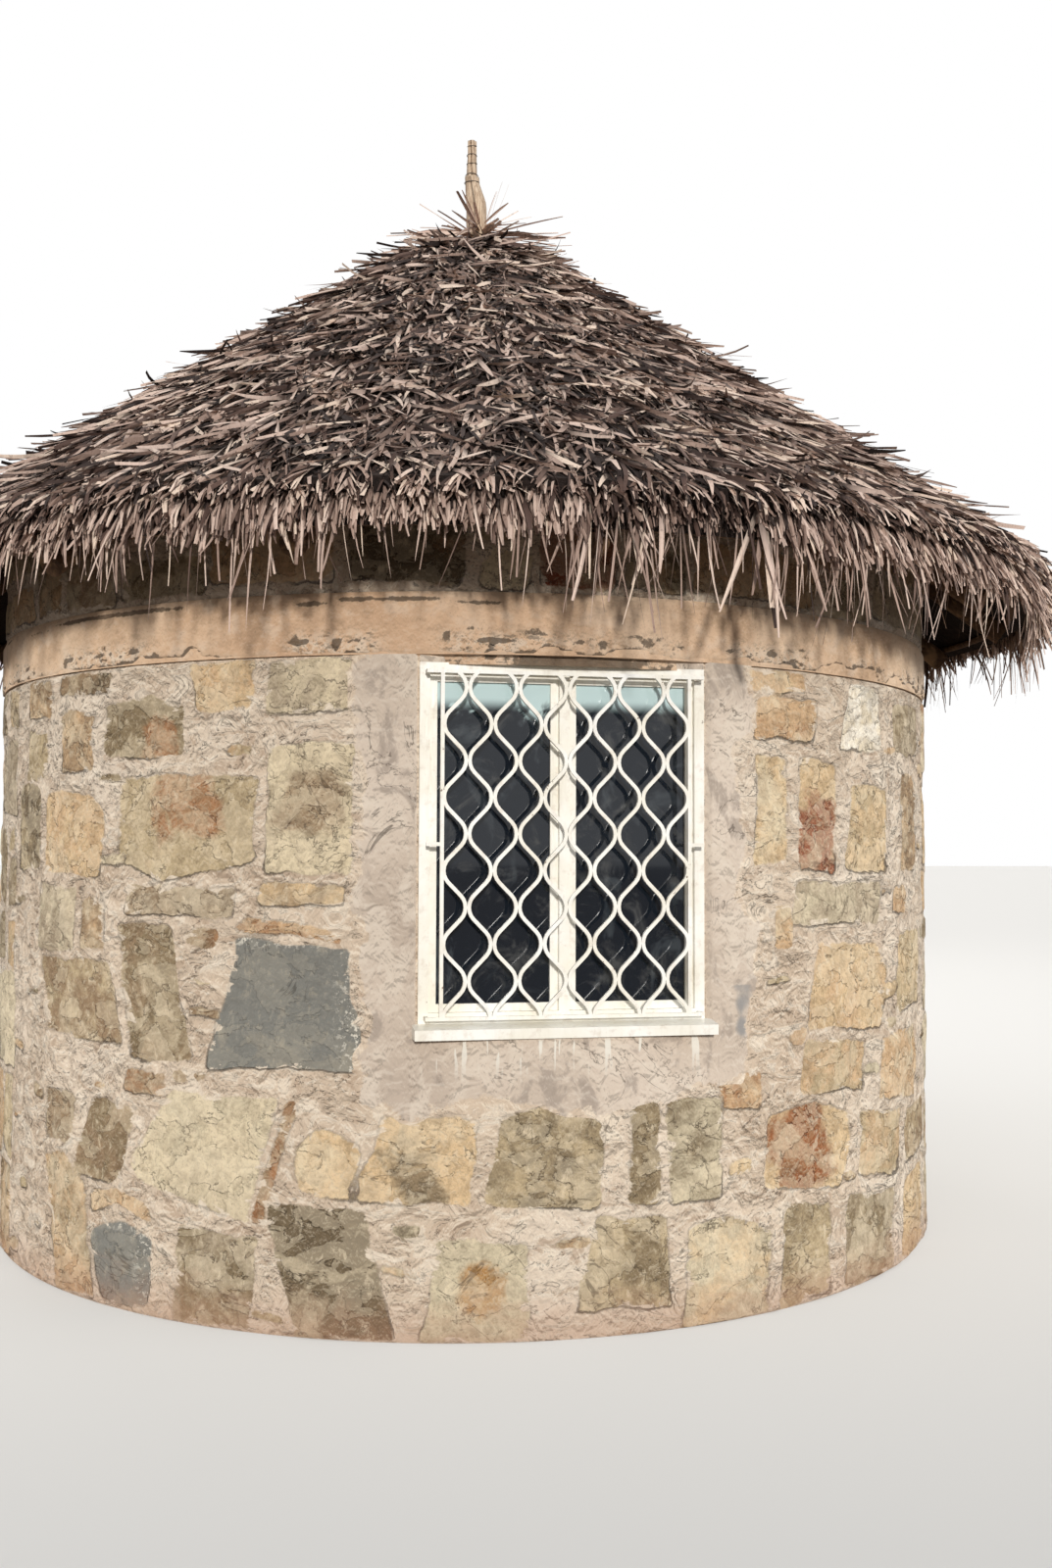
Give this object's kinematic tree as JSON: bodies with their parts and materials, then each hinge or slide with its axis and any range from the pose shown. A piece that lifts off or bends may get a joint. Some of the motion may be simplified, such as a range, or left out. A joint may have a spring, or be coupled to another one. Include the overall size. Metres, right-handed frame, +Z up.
{
  "type": "rondavel hut",
  "caption": "Round rubble-stone hut with a cast ring beam, a grilled steel window, a steel door and a conical palm-leaf thatch with a finial pole.",
  "frame": {"origin": "on the ground at the hut's vertical axis, at the bottom centre of its box", "axes": "+Z up along the hut's axis, -Y towards the window, +Y towards the door"},
  "size_m": [5.1204, 5.1204, 4.877],
  "materials": {
    "rubble_stone": "rough rubble stone in flush mortar",
    "beam_render": "trowelled earth-coloured render",
    "cement_plaster": "smeared grey cement plaster",
    "concrete": "floated concrete",
    "window_paint": "white gloss paint",
    "grille_paint": "white gloss paint",
    "window_glass": "dark dusty glass",
    "steel_fittings": "brushed",
    "pole_timber": "barked, weathered poles",
    "palm_thatch": "weathered coconut-leaf thatch",
    "leaf_sheath": "dry pale leaf sheath"
  },
  "bodies": {
    "root": {"floor_slab": "concrete", "wall_east_1": "rubble_stone", "wall_east_2": "rubble_stone", "wall_east_3": "rubble_stone", "wall_east_4": "rubble_stone", "wall_east_5": "rubble_stone", "wall_west_1": "rubble_stone", "wall_west_2": "rubble_stone", "wall_west_3": "rubble_stone", "wall_west_4": "rubble_stone", "wall_west_5": "rubble_stone", "wall_under_window": "rubble_stone", "door_threshold": "concrete", "ring_beam": "beam_render", "wall_head_front": "rubble_stone", "wall_head_east": "rubble_stone", "wall_head_back": "rubble_stone", "wall_head_west": "rubble_stone", "window_plaster": "cement_plaster", "window_sill": "window_paint", "window_frame": "window_paint", "window_sash_left": "window_paint", "window_sash_right": "window_paint", "window_glass_left": "window_glass", "window_glass_right": "window_glass", "window_grille": "grille_paint", "door_plaster": "cement_plaster", "door_frame": "window_paint", "door_leaf": "window_paint", "door_hinges": "steel_fittings", "door_handle": "steel_fittings", "wall_plate": "pole_timber", "main_rafters": "pole_timber", "short_rafters": "pole_timber", "battens": "pole_timber", "thatch_course_1": "palm_thatch", "thatch_course_2": "palm_thatch", "thatch_course_3": "palm_thatch", "thatch_course_4": "palm_thatch", "thatch_course_5": "palm_thatch", "thatch_course_6": "palm_thatch", "thatch_cap": "palm_thatch", "eave_fringe": "palm_thatch", "finial_pole": "pole_timber", "finial_sheath": "leaf_sheath"}
  },
  "joints": []
}
